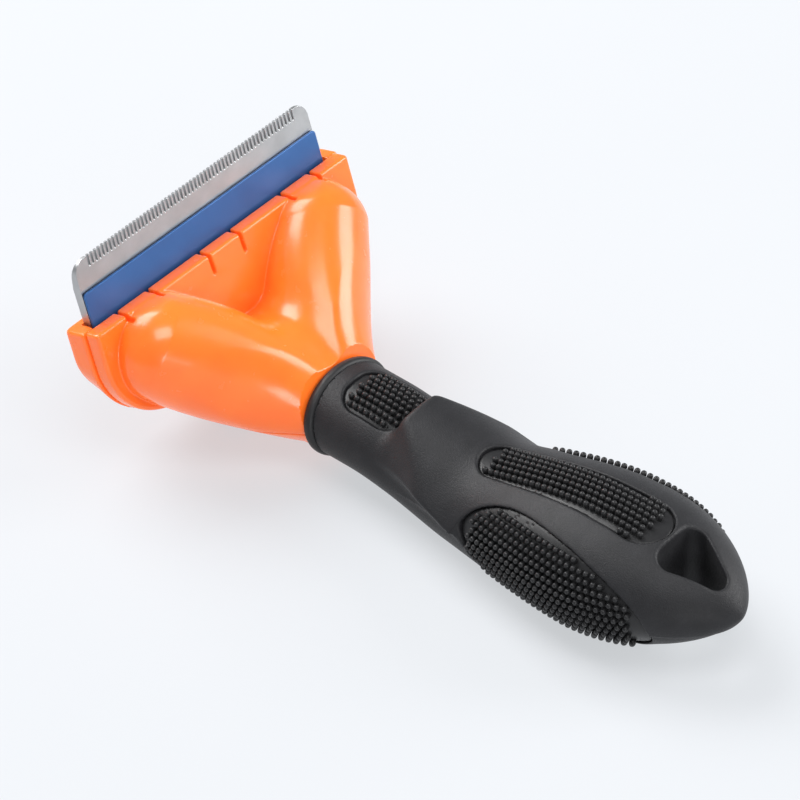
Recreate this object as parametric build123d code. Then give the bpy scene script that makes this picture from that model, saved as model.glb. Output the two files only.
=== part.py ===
from build123d import *
import os
from math import cos, radians, sin

# Deshedding tool, lying on its back: +X runs along the blade, +Y points out of the head, and the
# grip runs towards -Y. All sizes are millimetres. The shapes are worked out about the centre of the
# collar, and the finished tool is moved so that its origin is the bottom centre of its outline box.

# Housing lip: the slot edge that the blade and the bar come out of, measured from the collar centre.
LIP_REACH = 34.2
LIP_RISE = 22.8
BLADE_LEAN = 72.0                 # degrees between the blade and the surface that the tool lies on
RESTING_DROP = 11.5               # collar centre to that surface

# Blade. Heights are measured from the lip, along the blade.
BLADE_WIDTH = 66.0
BLADE_THICKNESS = 2.0
BLADE_CORNER = 3.0
EDGE_THICKNESS = 0.8              # at the tips of the teeth
GROUND_HEIGHT = 5.5               # height of the slope ground on the back, down from the tips
BLADE_TIP = 13.0
BLADE_FOOT = -6.0
TOOTH_PITCH = 1.0
TOOTH_GAP = 0.45
TOOTH_DEPTH = 2.3
GAP_COUNT = 59
BLADE_SCREW_SPACING = 22.0
BLADE_SCREW_HEIGHT = -4.2
SLOT_CLEARANCE = 0.5              # at each end of the blade

# Ejector. Depths are measured backwards from the inner face of the front wall.
BAR_WIDTH = 66.0
BAR_FRONT = 0.5
BAR_THICKNESS = 0.6
BAR_TOP = 6.7
BAR_FOOT = -6.5
BAR_CHAMFER = 0.3
BAR_CLEARANCE = 0.7               # at each end of the bar
LEG_WIDTH = 12.0
LEG_PLACE = 12.5                  # distance of a leg from the middle
LEG_MARGIN = 0.6                  # a leg's foot to the carriage's foot
BLADE_FRONT = BAR_FRONT + BAR_THICKNESS + 0.15
BLADE_BACK = BLADE_FRONT + BLADE_THICKNESS
EJECTOR_TRAVEL = 6.5
END_CLEARANCE = 0.3               # beyond each end of the travel
HOLDER_DEPTH = 3.0
HOLDER_WIDTH = 52.0
HOLDER_TOP = -1.5
HOLDER_FOOT = -7.5
CARRIAGE_WIDTH = 44.0
CARRIAGE_TOP = HOLDER_FOOT - EJECTOR_TRAVEL - END_CLEARANCE
CARRIAGE_FOOT = -19.5
CARRIAGE_FRONT = BAR_FRONT + BAR_THICKNESS
CARRIAGE_BACK = 7.3
CARRIAGE_SCREW_HEIGHT = (CARRIAGE_TOP + CARRIAGE_FOOT) / 2
BAR_SCREW_SPACING = 11.0
PIN_SPACING = 18.0
PIN_DEPTH = 4.75
PIN_RADIUS = 0.8
PIN_CLEARANCE = 0.06
PIN_SOCKET = 2.0                  # how far a pin's ends stand in the holder and in the housing
PIN_END_GAP = 0.1
POCKET_RADIUS = 1.95
POCKET_FLOOR = CARRIAGE_FOOT + 1.2
SPRING_RADIUS = 1.5
SPRING_WIRE = 0.4
SPRING_TURNS = 8
SPRING_END_GAP = 0.05

# Thumb button, on the back
BUTTON_WIDTH = 20.0
BUTTON_TOP = -8.4
BUTTON_MARGIN = 1.0               # its foot below the carriage's foot
BUTTON_CORNER = 3.0
BUTTON_LIFT = 0.3                 # clear of the housing's back
BUTTON_BACK = 11.1
BUTTON_NECK = 3.0
BUTTON_NECK_WIDTH = 9.6
BUTTON_RIBS = 4
RIB_DEPTH = 0.4
RIB_MARGIN = 3.0
RIB_GAP = 1.0

# Screws: shank radius, length, head radius, head height
BLADE_SCREW = (1.1, 4.6, 2.1, 1.1)                  # the only countersunk ones
BAR_SCREW = (1.1, 6.4, 1.9, 1.1)
BUTTON_SCREW = (1.1, 9.6, 1.9, 1.1)
SHELL_SCREW = (1.1, 7.2, 2.0, 1.4)
CORE_SCREW = (1.5, 8.2, 2.6, 1.6)
END_SCREW_PLACE = 30.8                              # the shell's end screws, from the middle
END_SCREW_HEIGHT = -12.0
END_SCREW_SUNK = 0.3
NECK_SCREW_PLACE = (9.0, 20.5, 4.2)                # across, towards the head, above the surface
CORE_SCREW_PLACES = (7.0, 15.0)                     # towards the head
CORE_SCREW_RISE = 1.2                               # above the surface
CROSS_WIDTH = 0.45
CROSS_LENGTH = 1.1                                  # of the head radius
CROSS_DEPTH = 0.6                                   # of the head height
SCREW_CLEARANCE = 0.04
SCREW_END_GAP = 0.3
ACCESS_DEPTH = 6.0                                  # straight way out for a screw's head

# Housing
HEAD_WIDTH = 73.2
HEAD_CORNER = 13.0
HEAD_EDGE = 1.6
FLAP_WIDTH = 72.0
FLAP_CORNER = 15.0
LIP_FRONT = 3.5                   # front wall thickness at the lip
LIP_BACK = 5.4                    # depth of the rear shell at the lip
HEAD_DROP = 23.0                  # height of the housing's flat ends
BULGE_WIDTH = 57.0
BULGE_DROP = 22.0
BULGE_DEPTH = 9.4
BULGE_TOP = -0.6
BULGE_CORNER = 10.0
BULGE_EDGE = 1.8
BULGE_OVERLAP = 1.0
CAVITY_WIDTH = 46.6
CAVITY_BACK = 7.6
CAVITY_FOOT = -20.6
SCREW_POCKET_WIDTH = 42.0         # room in the front wall for the heads of the bar's screws
SCREW_POCKET_DEPTH = 1.6
SCREW_POCKET_TOP = -7.0
BUTTON_SLOT_WIDTH = 10.6
SLIT_WIDTH = 0.8
SLITS = ((4.4, 4.2), (19.0, 2.2), (27.6, 2.4))      # distance from the middle, depth
SHELL_SPLIT = -1.5                # height of the split along the neck, from the collar centre
OVERLAP = 1.0                     # how far a cut runs past the face that it starts from
NECK_SECTIONS = (                 # place towards the head, half width, half height, middle height
    (-1.0, 10.7, 8.0, 0.0),
    (7.0, 11.8, 9.1, -1.2),
    (15.0, 14.3, 11.0, -1.3),
    (24.0, 17.5, 11.4, -1.0),
    (32.0, 20.0, 8.5, 0.0),
)
LOBE_SECTIONS = (                 # x, y and z of the middle, radius
    (3.8, -1.0, 0.6, 6.4),
    (10.6, 11.2, 6.4, 8.2),
    (18.6, 21.5, 12.7, 9.2),
    (23.0, 28.3, 17.7, 8.0),
    (23.8, 32.9, 22.3, 5.0),
    (23.8, 34.9, 26.7, 3.8),
)

# Grip. Its sections are ellipses, and distances are measured behind the collar.
NECK_HALF_WIDTH = 10.9
NECK_HALF_HEIGHT = 8.3
SWELL_HALF_WIDTH = 17.8
SWELL_HALF_HEIGHT = 13.0
SWELL_START = 18.0                # where the grip starts to widen
SWELL_AT = 66.0                   # where it is widest
DROP_START = 8.0                  # where its underside leaves the neck
DROP_END = 34.0                   # where its underside reaches the surface
TAIL_RISE = 0.06                  # how fast the middle rises towards the end
TAIL_POWER = 0.67                 # below 1, the end is rounder
GRIP_LENGTH = 95.8
TAIL_SECTIONS = (72, 77.5, 82, 86, 89.5, 92.3, 94.3, 95.4)
SECTION_STEP = 6
PAD_DEPTH = 1.4
THUMB_PAD = (9.7, 12.4, 14.2, 3.6)                  # middle, width, length, corner
TOP_PAD = (56.0, 44.0, 10.8)                        # middle, length, width
SIDE_PAD = (61.0, 0.8, 23.0, 8.6)                   # middle, its height, half length, half height
STOP_SECTIONS = (                 # the thumb stop: place behind, half width, half height, middle
    (-17.4, 8.8, 3.8, 7.2),
    (-24.0, 9.4, 4.2, 6.6),
    (-33.0, 7.0, 3.0, 3.6),
)
HOLE_FRONT, HOLE_END = 79.1, 94.5
HOLE_HALF_WIDTH = 7.6
HOLE_CORNER = 2.6
COLLAR_TILT = 16.6                # degrees, its top leaning towards the head
COLLAR_THICKNESS = 2.2
COLLAR_HALF_WIDTH = 11.6
COLLAR_HALF_HEIGHT = 9.0
CORE_WIDTH = 13.0
CORE_HEIGHT = 8.4
CORE_CORNER = 2.6
CORE_FRONT = 20.0                 # how far the tang reaches into the housing
CORE_END = 72.0
TANG_ROOM = 5.0                   # the tang's room starts this far behind the collar
FIT = 0.1

DEEP = 120.0                      # longer than the tool, for cuts that pass right through
BOTTOM = (Align.CENTER, Align.CENTER, Align.MIN)
BELOW = (Align.CENTER, Align.CENTER, Align.MAX)
TO_BACK = Rot(-90, 0, 0)          # turns +Z to point from the head's front to its back
TO_FRONT = Rot(90, 0, 0)

head_frame = Plane(
    origin=(0, LIP_REACH, LIP_RISE),
    x_dir=(1, 0, 0),
    z_dir=(0, cos(radians(BLADE_LEAN)), sin(radians(BLADE_LEAN))),
).location
collar_frame = Plane(
    origin=(0, 0, 0),
    x_dir=(1, 0, 0),
    z_dir=(0, cos(radians(COLLAR_TILT)), -sin(radians(COLLAR_TILT))),
).location


# Helpers. In the head frame, X is along the blade, Y goes backwards and Z goes up to the teeth.

def head_box(width, front, back, low, high, middle=0.0):
    box = Box(width, back - front, high - low)
    return Pos(middle, (front + back) / 2, (low + high) / 2) * box


def head_plate(sketch, front, thickness):
    """A flat plate cut to an outline drawn across the head, from its front face backwards."""
    return Pos(0, front, 0) * extrude(Plane.XZ * sketch, amount=-thickness)


def screw(radius, length, head_radius, head_height, countersunk=False):
    """A screw with its head's outer face at the origin, pointing along +Z."""
    shank = Cylinder(radius, length, align=BOTTOM)
    if countersunk:
        head = Cone(head_radius, radius, head_height, align=BOTTOM)
    else:
        head = Cylinder(head_radius, head_height, align=BOTTOM)
    recess_depth = head_height * CROSS_DEPTH
    recess = Box(head_radius * CROSS_LENGTH, CROSS_WIDTH, recess_depth, align=BOTTOM)
    recess += Box(CROSS_WIDTH, head_radius * CROSS_LENGTH, recess_depth, align=BOTTOM)
    return shank + head - recess


def screw_room(radius, length, head_radius, head_height, countersunk=False):
    """The hole that a screw of the same size stands in."""
    room_radius = radius + SCREW_CLEARANCE
    room = Cylinder(room_radius, length + SCREW_END_GAP, align=BOTTOM)
    if countersunk:
        return room + Cone(head_radius + SCREW_CLEARANCE, room_radius, head_height, align=BOTTOM)
    return room + Cylinder(head_radius + FIT, head_height, align=BOTTOM)


def access_hole(size):
    """The straight way in for a screw's head, from outside the housing."""
    return Pos(0, 0, -ACCESS_DEPTH) * Cylinder(size[2] + FIT, ACCESS_DEPTH + FIT, align=BOTTOM)


def pin_sockets(low):
    """Two blind holes for the guide pins' ends, from a height in the head upwards."""
    hole = Cylinder(PIN_RADIUS + PIN_CLEARANCE / 3, PIN_SOCKET + 2 * PIN_END_GAP, align=BOTTOM)
    return [head_frame * Pos(x, PIN_DEPTH, low) * hole for x in (-PIN_SPACING, PIN_SPACING)]


def surface_below():
    """Everything under the surface that the tool lies on."""
    return Pos(0, 0, -RESTING_DROP) * Box(DEEP, 3 * DEEP, DEEP, align=BELOW)


def one(shape):
    """The single solid that a boolean left, without any sliver beside it."""
    return max(shape.solids(), key=lambda solid: solid.volume)


def head_side(distance):
    """Everything on the head's side of the tilted collar, from a distance along its axis."""
    return collar_frame * Pos(0, 0, distance) * Box(DEEP, DEEP, DEEP, align=BOTTOM)


def across_neck(along, half_width, half_height, middle):
    plane = Plane(origin=(0, along, middle), x_dir=(1, 0, 0), z_dir=(0, -1, 0))
    return plane * Ellipse(half_width, half_height)


# Screw places. Each entry is a location in the tool's frame, pointing the way that the screw goes.

def blade_screw_places():
    places = (-BLADE_SCREW_SPACING, 0, BLADE_SCREW_SPACING)
    return [head_frame * Pos(x, BLADE_FRONT, BLADE_SCREW_HEIGHT) * TO_BACK for x in places]


def bar_screw_places():
    places = (-BAR_SCREW_SPACING, BAR_SCREW_SPACING)
    front = BAR_FRONT - BAR_SCREW[3]
    return [head_frame * Pos(x, front, CARRIAGE_SCREW_HEIGHT) * TO_BACK for x in places]


def button_screw_places():
    front = CARRIAGE_FRONT - BUTTON_SCREW[3]
    return [head_frame * Pos(0, front, CARRIAGE_SCREW_HEIGHT) * TO_BACK]


def shell_screw_places():
    across, along, rise = NECK_SCREW_PLACE
    places = []
    for side in (-1, 1):
        end = Pos(side * END_SCREW_PLACE, LIP_BACK - END_SCREW_SUNK, END_SCREW_HEIGHT)
        places.append(head_frame * end * TO_FRONT)
        places.append(Pos(side * across, along, rise - RESTING_DROP))
    return places


def core_screw_places():
    return [Pos(0, along, CORE_SCREW_RISE - RESTING_DROP) for along in CORE_SCREW_PLACES]


# Housing

def end_outline(width, drop, corner):
    outline = Rectangle(width, drop * 2)
    return fillet(outline.vertices(), corner)


def front_zone():
    """The half of the housing that belongs to the front shell."""
    lean_cos, lean_sin = cos(radians(BLADE_LEAN)), sin(radians(BLADE_LEAN))
    corner_y = LIP_REACH - (LIP_RISE - SHELL_SPLIT) / lean_sin * lean_cos
    top_y = LIP_REACH + OVERLAP * lean_cos
    outline = Polygon(
        (top_y, LIP_RISE + OVERLAP * lean_sin),
        (corner_y, SHELL_SPLIT),
        (-DEEP, SHELL_SPLIT),
        (-DEEP, DEEP),
        (top_y, DEEP),
        align=None,
    )
    return extrude(Plane.YZ * outline, amount=DEEP / 2, both=True)


def neck_body():
    return loft([across_neck(*section) for section in NECK_SECTIONS])


def lobe(side):
    """One arm of the Y that joins the neck to the lip, as a tube with rounded sections."""
    middles = [Vector(side * x, y, z) for x, y, z, radius in LOBE_SECTIONS]
    sections = []
    for i, middle in enumerate(middles):
        heading = middles[min(i + 1, len(middles) - 1)] - middles[max(i - 1, 0)]
        plane = Plane(origin=middle, x_dir=heading.cross(Vector(0, 0, 1)), z_dir=heading)
        sections.append(plane * Circle(LOBE_SECTIONS[i][3]))
    return loft(sections, ruled=True)


def above_lip():
    return head_frame * head_box(DEEP, -DEEP / 2, DEEP / 2, 0, DEEP / 2)


def make_front_shell():
    slab = head_plate(end_outline(FLAP_WIDTH, HEAD_DROP, FLAP_CORNER), -LIP_FRONT, LIP_FRONT)
    body = head_frame * slab + neck_body() + lobe(-1) + lobe(1)
    body = (body & front_zone()) - above_lip()
    body &= head_side(COLLAR_THICKNESS / 2)
    body -= head_frame * head_box(
        SCREW_POCKET_WIDTH, -SCREW_POCKET_DEPTH, OVERLAP, CAVITY_FOOT, SCREW_POCKET_TOP
    )
    for distance, drop in SLITS:
        for x in (-distance, distance):
            body -= head_frame * head_box(SLIT_WIDTH, -2 * LIP_FRONT, OVERLAP, -drop, OVERLAP, x)
    return body - housing_rooms()


def make_rear_shell():
    slab = head_plate(end_outline(HEAD_WIDTH, HEAD_DROP, HEAD_CORNER), 0, LIP_BACK)
    slab = fillet(slab.faces().sort_by(Axis.Y)[-1].edges(), HEAD_EDGE)
    bulge_outline = end_outline(BULGE_WIDTH, BULGE_DROP, BULGE_CORNER)
    bulge = head_plate(bulge_outline, BULGE_OVERLAP, BULGE_DEPTH - BULGE_OVERLAP)
    bulge -= head_box(DEEP, -DEEP, DEEP, BULGE_TOP, DEEP)
    bulge = fillet(bulge.faces().sort_by(Axis.Y)[-1].edges(), BULGE_EDGE)
    body = head_frame * (slab + bulge) + neck_body() - above_lip() - front_zone()
    body &= head_side(COLLAR_THICKNESS / 2)
    return body - surface_below() - head_frame * ejector_rooms() - housing_rooms()


def ejector_rooms():
    """Space in the head for the blade, its holder, and the ejector on its whole travel."""
    front = -OVERLAP
    slot_width = BLADE_WIDTH + 2 * SLOT_CLEARANCE
    bar_slot_width = BAR_WIDTH + 2 * BAR_CLEARANCE
    neck_low = CARRIAGE_SCREW_HEIGHT - BUTTON_NECK / 2 - END_CLEARANCE
    neck_high = neck_low + BUTTON_NECK + EJECTOR_TRAVEL + 2 * END_CLEARANCE
    rooms = head_box(slot_width, front, BLADE_BACK, BLADE_FOOT, OVERLAP)
    rooms += head_box(bar_slot_width, front, BLADE_FRONT, BAR_FOOT - LEG_MARGIN, OVERLAP)
    rooms += head_box(HOLDER_WIDTH, 0, BLADE_BACK + HOLDER_DEPTH, HOLDER_FOOT, HOLDER_TOP)
    rooms += head_box(CAVITY_WIDTH, front, CAVITY_BACK, CAVITY_FOOT, HOLDER_FOOT)
    rooms += head_box(BUTTON_SLOT_WIDTH, 0, BULGE_DEPTH + OVERLAP, neck_low, neck_high)
    return rooms


def core_bar(front, end, growth=0.0):
    """A rounded bar along the grip, from a place in the housing to a place in the grip."""
    section = RectangleRounded(CORE_WIDTH + growth, CORE_HEIGHT + growth, CORE_CORNER)
    plane = Plane(origin=(0, front, 0), x_dir=(1, 0, 0), z_dir=(0, -1, 0))
    return extrude(plane * section, amount=front + end)


def housing_rooms():
    """Space in the housing for the tang and for the screws that are driven from behind."""
    rooms = core_bar(CORE_FRONT + FIT, TANG_ROOM, 2 * FIT)
    for places, size in ((shell_screw_places(), SHELL_SCREW), (core_screw_places(), CORE_SCREW)):
        rooms += [place * (screw_room(*size) + access_hole(size)) for place in places]
    return rooms + pin_sockets(CAVITY_FOOT - PIN_SOCKET)


# Blade and ejector

def make_blade():
    height = BLADE_TIP - BLADE_FOOT
    outline = Pos(0, BLADE_FOOT + height / 2) * Rectangle(BLADE_WIDTH, height)
    top_corners = outline.vertices().sort_by(Axis.Y)[-2:]
    outline = fillet(top_corners, BLADE_CORNER)
    first = -TOOTH_PITCH * (GAP_COUNT - 1) / 2
    gap = Rectangle(TOOTH_GAP, TOOTH_DEPTH * 2)
    outline -= [Pos(first + i * TOOTH_PITCH, BLADE_TIP) * gap for i in range(GAP_COUNT)]
    ground_off = Polygon(
        (BLADE_BACK, BLADE_TIP - GROUND_HEIGHT),
        (BLADE_FRONT + EDGE_THICKNESS, BLADE_TIP),
        (BLADE_BACK, BLADE_TIP),
        align=None,
    )
    blade = head_plate(outline, BLADE_FRONT, BLADE_THICKNESS)
    blade -= extrude(Plane.YZ * ground_off, amount=DEEP / 2, both=True)
    return head_frame * blade - [place * screw_room(*BLADE_SCREW, True) for place in blade_screw_places()]


def make_blade_holder():
    holder = head_box(HOLDER_WIDTH, BLADE_BACK, BLADE_BACK + HOLDER_DEPTH, HOLDER_FOOT, HOLDER_TOP)
    holder = head_frame * holder
    holder -= [place * screw_room(*BLADE_SCREW, True) for place in blade_screw_places()]
    return holder - pin_sockets(HOLDER_FOOT - 2 * PIN_END_GAP)


def make_ejector_bar():
    outline = Pos(0, (BAR_TOP + BAR_FOOT) / 2) * Rectangle(BAR_WIDTH, BAR_TOP - BAR_FOOT)
    leg_foot = CARRIAGE_FOOT + LEG_MARGIN
    leg_top = BAR_FOOT + OVERLAP
    for x in (-LEG_PLACE, LEG_PLACE):
        outline += Pos(x, (leg_foot + leg_top) / 2) * Rectangle(LEG_WIDTH, leg_top - leg_foot)
    bar = head_plate(outline, BAR_FRONT, BAR_THICKNESS)
    top_front = bar.edges().filter_by(Axis.X).group_by(Axis.Z)[-1].sort_by(Axis.Y)[0]
    bar = head_frame * chamfer(top_front, BAR_CHAMFER)
    return bar - [place * screw_room(*BAR_SCREW) for place in bar_screw_places()]


def make_carriage():
    block = head_box(CARRIAGE_WIDTH, CARRIAGE_FRONT, CARRIAGE_BACK, CARRIAGE_FOOT, CARRIAGE_TOP)
    for x in (-PIN_SPACING, PIN_SPACING):
        bore = Cylinder(PIN_RADIUS + PIN_CLEARANCE, DEEP, align=BOTTOM)
        pocket = Cylinder(POCKET_RADIUS, DEEP, align=BOTTOM)
        block -= Pos(x, PIN_DEPTH, CARRIAGE_FOOT - OVERLAP) * bore
        block -= Pos(x, PIN_DEPTH, POCKET_FLOOR) * pocket
    block = head_frame * block
    block -= [place * screw_room(*BAR_SCREW) for place in bar_screw_places()]
    return block - [place * screw_room(*BUTTON_SCREW) for place in button_screw_places()]


def make_thumb_button():
    low = CARRIAGE_FOOT - BUTTON_MARGIN
    front = BULGE_DEPTH + BUTTON_LIFT
    plate = head_box(BUTTON_WIDTH, front, BUTTON_BACK, low, BUTTON_TOP)
    plate = fillet(plate.edges().filter_by(Axis.Y), BUTTON_CORNER)
    neck_low = CARRIAGE_SCREW_HEIGHT - BUTTON_NECK / 2
    neck_high = neck_low + BUTTON_NECK
    plate += head_box(BUTTON_NECK_WIDTH, CARRIAGE_BACK, (front + BUTTON_BACK) / 2, neck_low, neck_high)
    rib_width = BUTTON_WIDTH - 2 * RIB_MARGIN
    for i in range(BUTTON_RIBS):
        gap_low = low + (i + 1) * (BUTTON_TOP - low) / (BUTTON_RIBS + 1) - RIB_GAP / 2
        plate -= head_box(rib_width, BUTTON_BACK - RIB_DEPTH, DEEP, gap_low, gap_low + RIB_GAP)
    button = head_frame * plate
    return button - [place * screw_room(*BUTTON_SCREW) for place in button_screw_places()]


def make_guide_pin(x):
    low = CAVITY_FOOT - PIN_SOCKET + PIN_END_GAP
    high = HOLDER_FOOT + PIN_SOCKET - PIN_END_GAP
    pin = Cylinder(PIN_RADIUS, high - low, align=BOTTOM)
    return head_frame * Pos(x, PIN_DEPTH, low) * pin


def make_spring(x):
    """A compression spring that stands in the carriage's pocket, up to the blade holder."""
    length = HOLDER_FOOT - POCKET_FLOOR - SPRING_WIRE - 2 * SPRING_END_GAP
    coil = Helix(pitch=length / SPRING_TURNS, height=length, radius=SPRING_RADIUS)
    start = Plane(origin=coil @ 0, z_dir=coil % 0)
    wire = sweep(start * Circle(SPRING_WIRE / 2), path=coil)
    return head_frame * Pos(x, PIN_DEPTH, POCKET_FLOOR + SPRING_WIRE / 2 + SPRING_END_GAP) * wire


def make_screws(places, size, countersunk=False):
    return Compound([place * screw(*size, countersunk) for place in places])


# Grip

def ease(part):
    """Goes from 0 to 1 with a level start and end."""
    part = min(max(part, 0.0), 1.0)
    return part * part * (3 - 2 * part)


def grip_section(behind):
    """Half width, half height and middle height of the grip, at a distance behind the collar."""
    swell = ease((behind - SWELL_START) / (SWELL_AT - SWELL_START))
    drop = ease((behind - DROP_START) / (DROP_END - DROP_START))
    tail = max(behind - SWELL_AT, 0) / (GRIP_LENGTH - SWELL_AT)
    size = (1 - tail ** 2) ** TAIL_POWER
    half_width = NECK_HALF_WIDTH + swell * (SWELL_HALF_WIDTH - NECK_HALF_WIDTH)
    half_height = NECK_HALF_HEIGHT + swell * (SWELL_HALF_HEIGHT - NECK_HALF_HEIGHT)
    underside = -NECK_HALF_HEIGHT - drop * (RESTING_DROP - NECK_HALF_HEIGHT)
    middle = underside + half_height + TAIL_RISE * max(behind - SWELL_AT, 0)
    return half_width * size, half_height * size, middle


def grip_body(inset=0.0):
    """The grip's outer shape, or the same shape a constant depth inside it."""
    behinds = tuple(range(0, TAIL_SECTIONS[0], SECTION_STEP)) + TAIL_SECTIONS
    sections = []
    for behind in behinds:
        half_width, half_height, middle = grip_section(behind)
        half_width = max(half_width - inset, 0.5)
        half_height = max(half_height - inset, 0.4)
        sections.append(across_neck(-behind, half_width, half_height, middle))
    return loft(sections)


def thumb_stop():
    """The raised stop behind the thumb pad, with a steep front."""
    return loft([across_neck(*section) for section in STOP_SECTIONS])


def hang_hole():
    wide_side = ((-HOLE_HALF_WIDTH, -HOLE_FRONT), (HOLE_HALF_WIDTH, -HOLE_FRONT))
    outline = Polygon(*wide_side, (0, -HOLE_END), align=None)
    outline = fillet(outline.vertices(), HOLE_CORNER)
    return extrude(outline, amount=DEEP / 2, both=True)


def pad_column(name):
    """A column through the grip's surface, with the outline of one pad."""
    if name == "thumb_pad":
        behind, width, length, corner = THUMB_PAD
        return extrude(Pos(0, -behind) * RectangleRounded(width, length, corner), amount=DEEP / 2)
    if name == "top_pad":
        behind, length, width = TOP_PAD
        return extrude(Pos(0, -behind) * Rot(0, 0, 90) * SlotOverall(length, width), amount=DEEP / 2)
    behind, height, half_length, half_height = SIDE_PAD
    outline = Plane.YZ * Pos(-behind, height) * Ellipse(half_length, half_height)
    reach = DEEP / 2 if name == "side_pad_right" else -DEEP / 2
    return extrude(outline, amount=reach)


PAD_NAMES = ("thumb_pad", "top_pad", "side_pad_left", "side_pad_right")


def make_grip_parts():
    whole = grip_body() + thumb_stop() - head_side(-COLLAR_THICKNESS / 2) - surface_below()
    inside = grip_body(PAD_DEPTH)
    pads = {name: one((whole & pad_column(name)) - inside) for name in PAD_NAMES}
    grip = whole - hang_hole() - core_bar(TANG_ROOM, CORE_END)
    for pad in pads.values():
        grip -= pad
    return one(grip), pads


def make_core():
    core = core_bar(CORE_FRONT, CORE_END)
    return core - [place * screw_room(*CORE_SCREW) for place in core_screw_places()]


def make_collar():
    ring = collar_frame * Pos(0, 0, -COLLAR_THICKNESS / 2) * extrude(
        Ellipse(COLLAR_HALF_WIDTH, COLLAR_HALF_HEIGHT), amount=COLLAR_THICKNESS
    )
    return ring - core_bar(CORE_FRONT, CORE_FRONT, 2 * FIT)


grip, pads = make_grip_parts()
parts = {
    "front_shell": one(make_front_shell()),
    "rear_shell": one(make_rear_shell()),
    "blade": make_blade(),
    "blade_holder": make_blade_holder(),
    "blade_screws": make_screws(blade_screw_places(), BLADE_SCREW, True),
    "ejector_bar": make_ejector_bar(),
    "ejector_carriage": make_carriage(),
    "bar_screws": make_screws(bar_screw_places(), BAR_SCREW),
    "thumb_button": make_thumb_button(),
    "button_screw": make_screws(button_screw_places(), BUTTON_SCREW),
    "guide_pin_left": make_guide_pin(-PIN_SPACING),
    "guide_pin_right": make_guide_pin(PIN_SPACING),
    "spring_left": make_spring(-PIN_SPACING),
    "spring_right": make_spring(PIN_SPACING),
    "shell_screws": make_screws(shell_screw_places(), SHELL_SCREW),
    "handle_core": make_core(),
    "core_screws": make_screws(core_screw_places(), CORE_SCREW),
    "collar_ring": make_collar(),
    "grip": grip,
    **pads,
}

outline_box = Compound(list(parts.values())).bounding_box()
to_origin = Pos(0, -(outline_box.min.Y + outline_box.max.Y) / 2, RESTING_DROP)
os.makedirs("parts", exist_ok=True)
for name, part in parts.items():
    export_step(to_origin * part, f"parts/{name}.step")
print("outline", outline_box.size, "moved by", to_origin.position)
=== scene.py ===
import math

import bpy
import numpy as np
from mathutils import Matrix, Vector


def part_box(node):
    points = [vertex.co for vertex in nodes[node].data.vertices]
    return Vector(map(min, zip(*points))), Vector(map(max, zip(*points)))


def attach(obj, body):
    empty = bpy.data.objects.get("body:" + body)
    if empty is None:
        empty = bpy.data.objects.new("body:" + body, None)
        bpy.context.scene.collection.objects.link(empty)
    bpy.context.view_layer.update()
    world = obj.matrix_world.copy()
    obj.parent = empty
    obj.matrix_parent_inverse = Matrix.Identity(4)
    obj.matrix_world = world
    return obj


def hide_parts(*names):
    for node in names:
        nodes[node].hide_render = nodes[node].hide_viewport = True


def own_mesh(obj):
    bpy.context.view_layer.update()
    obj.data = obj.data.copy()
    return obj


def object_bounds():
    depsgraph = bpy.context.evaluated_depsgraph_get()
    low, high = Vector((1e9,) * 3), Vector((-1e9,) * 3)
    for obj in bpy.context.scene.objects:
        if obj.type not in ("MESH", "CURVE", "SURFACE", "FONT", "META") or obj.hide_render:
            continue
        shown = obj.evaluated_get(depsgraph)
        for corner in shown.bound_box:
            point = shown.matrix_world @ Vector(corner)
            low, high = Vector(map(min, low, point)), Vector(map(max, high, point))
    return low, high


# Looks of a deshedding tool. Shapes are worked out in millimetres about the centre of the collar,
# as in the CAD, and placed in the frame, in metres, by the collar's own box.

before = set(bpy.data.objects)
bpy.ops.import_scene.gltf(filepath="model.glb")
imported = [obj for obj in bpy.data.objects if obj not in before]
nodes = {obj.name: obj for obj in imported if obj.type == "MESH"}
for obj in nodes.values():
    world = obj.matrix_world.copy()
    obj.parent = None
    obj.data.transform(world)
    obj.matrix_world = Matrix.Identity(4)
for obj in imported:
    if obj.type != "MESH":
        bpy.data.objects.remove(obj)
cad_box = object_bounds()

MM = 0.001
ring_low, ring_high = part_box("collar_ring")
COLLAR_CENTRE = np.array((ring_low + ring_high) / 2)
RESTING_DROP = COLLAR_CENTRE[2] / MM

FINE_STEP = 0.34        # mesh step of the moulded shapes

# Head. Heights run from the lip up to the teeth, and depths run backwards from the front wall.
LIP_REACH = 34.2
LIP_RISE = 22.8
BLADE_LEAN = math.radians(72.0)
LEAN_COS, LEAN_SIN = math.cos(BLADE_LEAN), math.sin(BLADE_LEAN)
LIP_FRONT = 3.5
SCOOP_RISE = 1.3                   # how much further the middle of the front wall stands out
SCOOP_FOOT = 13.0
SCOOP_HALF_WIDTH = 16.0
SCOOP_FADE = 12.0
FLAP_HALF_WIDTH = 36.0
HEAD_HALF_WIDTH = 36.6
HEAD_DROP = 23.0
HEAD_CORNER = 15.0
LIP_BACK = 5.4
REAR_TAPER = 0.05
BULGE_HALF_WIDTH = 28.5
BULGE_DROP = 22.0
BULGE_DEPTH = 9.4
BULGE_TOP = -0.6
BULGE_CORNER = 10.0
SLIT_WIDTH = 0.8
SLITS = ((4.4, 4.2), (19.0, 1.8), (27.6, 1.9))     # from the middle, and how far down
SLIT_REACH = 5.0                   # how far the slits cut into the lobes' ends
SHELL_SPLIT = -1.5
TANG_HALF_WIDTH = 6.6
TANG_HALF_HEIGHT = 4.3
TANG_CORNER = 2.7
TANG_REACH = (-5.0, 20.2)
SHELL_SCREW_RADIUS = 2.1
END_SCREW_PLACE = (30.8, -12.0)    # from the middle, and height
END_SCREW_DEPTH = 3.7
NECK_SCREW_PLACE = (9.0, 20.5)     # from the middle, and towards the head
NECK_SCREW_RISE = 5.6              # above the table
CORE_SCREW_RADIUS = 2.7
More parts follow.
